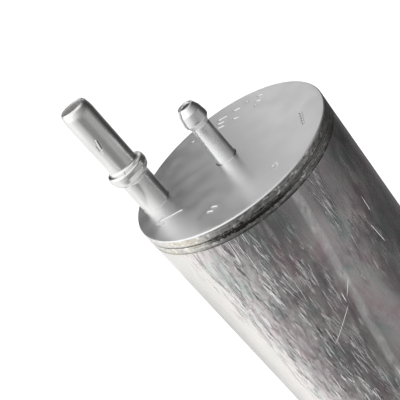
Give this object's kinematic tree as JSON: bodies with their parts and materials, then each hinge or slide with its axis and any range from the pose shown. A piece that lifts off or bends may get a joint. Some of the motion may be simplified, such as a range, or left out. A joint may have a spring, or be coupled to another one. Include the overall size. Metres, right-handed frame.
{
  "type": "fuel filter with regulator",
  "caption": "Round steel in-line fuel filter with a beaded outlet tube and a barbed vent nipple on its lid, two tubes at the far end, and a pressure regulator inside.",
  "frame": {"origin": "centre of the can on its axis, half way between the closed end and the lid, where the bracket strap clamps it", "axes": "+Z along the can's axis towards the lid with the outlet; -X towards the outlet and inlet tubes; +Y completes the frame"},
  "size_m": [0.055, 0.055, 0.2124],
  "materials": {
    "can_steel": "drawn, fine lengthwise lines and scratches",
    "lid_steel": "satin",
    "weld_metal": "rough dark weld bead",
    "tube_steel": "smooth satin",
    "nipple_steel": "smooth satin",
    "braze_metal": "thin pale fillet",
    "tinplate": "bright tin plate",
    "filter_paper": "resin-treated paper",
    "adhesive": "cast plastisol",
    "seal_rubber": "moulded",
    "spring_steel": "drawn wire",
    "regulator_steel": "zinc plated, slightly yellow",
    "screen_mesh": "woven wire",
    "diaphragm_cloth": "rubber on cloth",
    "valve_steel": "turned",
    "ball_steel": "polished ball",
    "seat_brass": "turned"
  },
  "bodies": {
    "canister": {"can": "can_steel", "lid": "lid_steel", "seam_weld": "weld_metal", "outlet_spigot": "tube_steel", "inlet_spigot": "tube_steel", "return_spigot": "tube_steel", "vent_nipple": "nipple_steel", "braze_fillets": "braze_metal", "upper_end_disc": "tinplate", "lower_end_disc": "tinplate", "filter_media": "filter_paper", "media_adhesive": "adhesive", "centre_tube": "tinplate", "element_seal": "seal_rubber", "element_bore_seal": "seal_rubber", "element_spring": "spring_steel", "return_tube": "tube_steel", "return_socket_seal": "seal_rubber", "regulator_base": "regulator_steel", "regulator_cover": "regulator_steel", "regulator_screen": "screen_mesh", "vent_seal": "seal_rubber", "diaphragm": "diaphragm_cloth", "regulator_spring": "spring_steel", "valve_seat": "seat_brass"},
    "regulator_valve": {"spring_seat": "regulator_steel", "valve_holder": "valve_steel", "valve_ball": "ball_steel"}
  },
  "joints": [
    {"name": "regulator_lift", "type": "slide", "parent": "canister", "child": "regulator_valve", "axis": [0, 0, 1], "range_m": [0, 0.0008], "stiffness_N_per_m": 12000, "deforming": ["regulator_spring", "diaphragm"]}
  ]
}
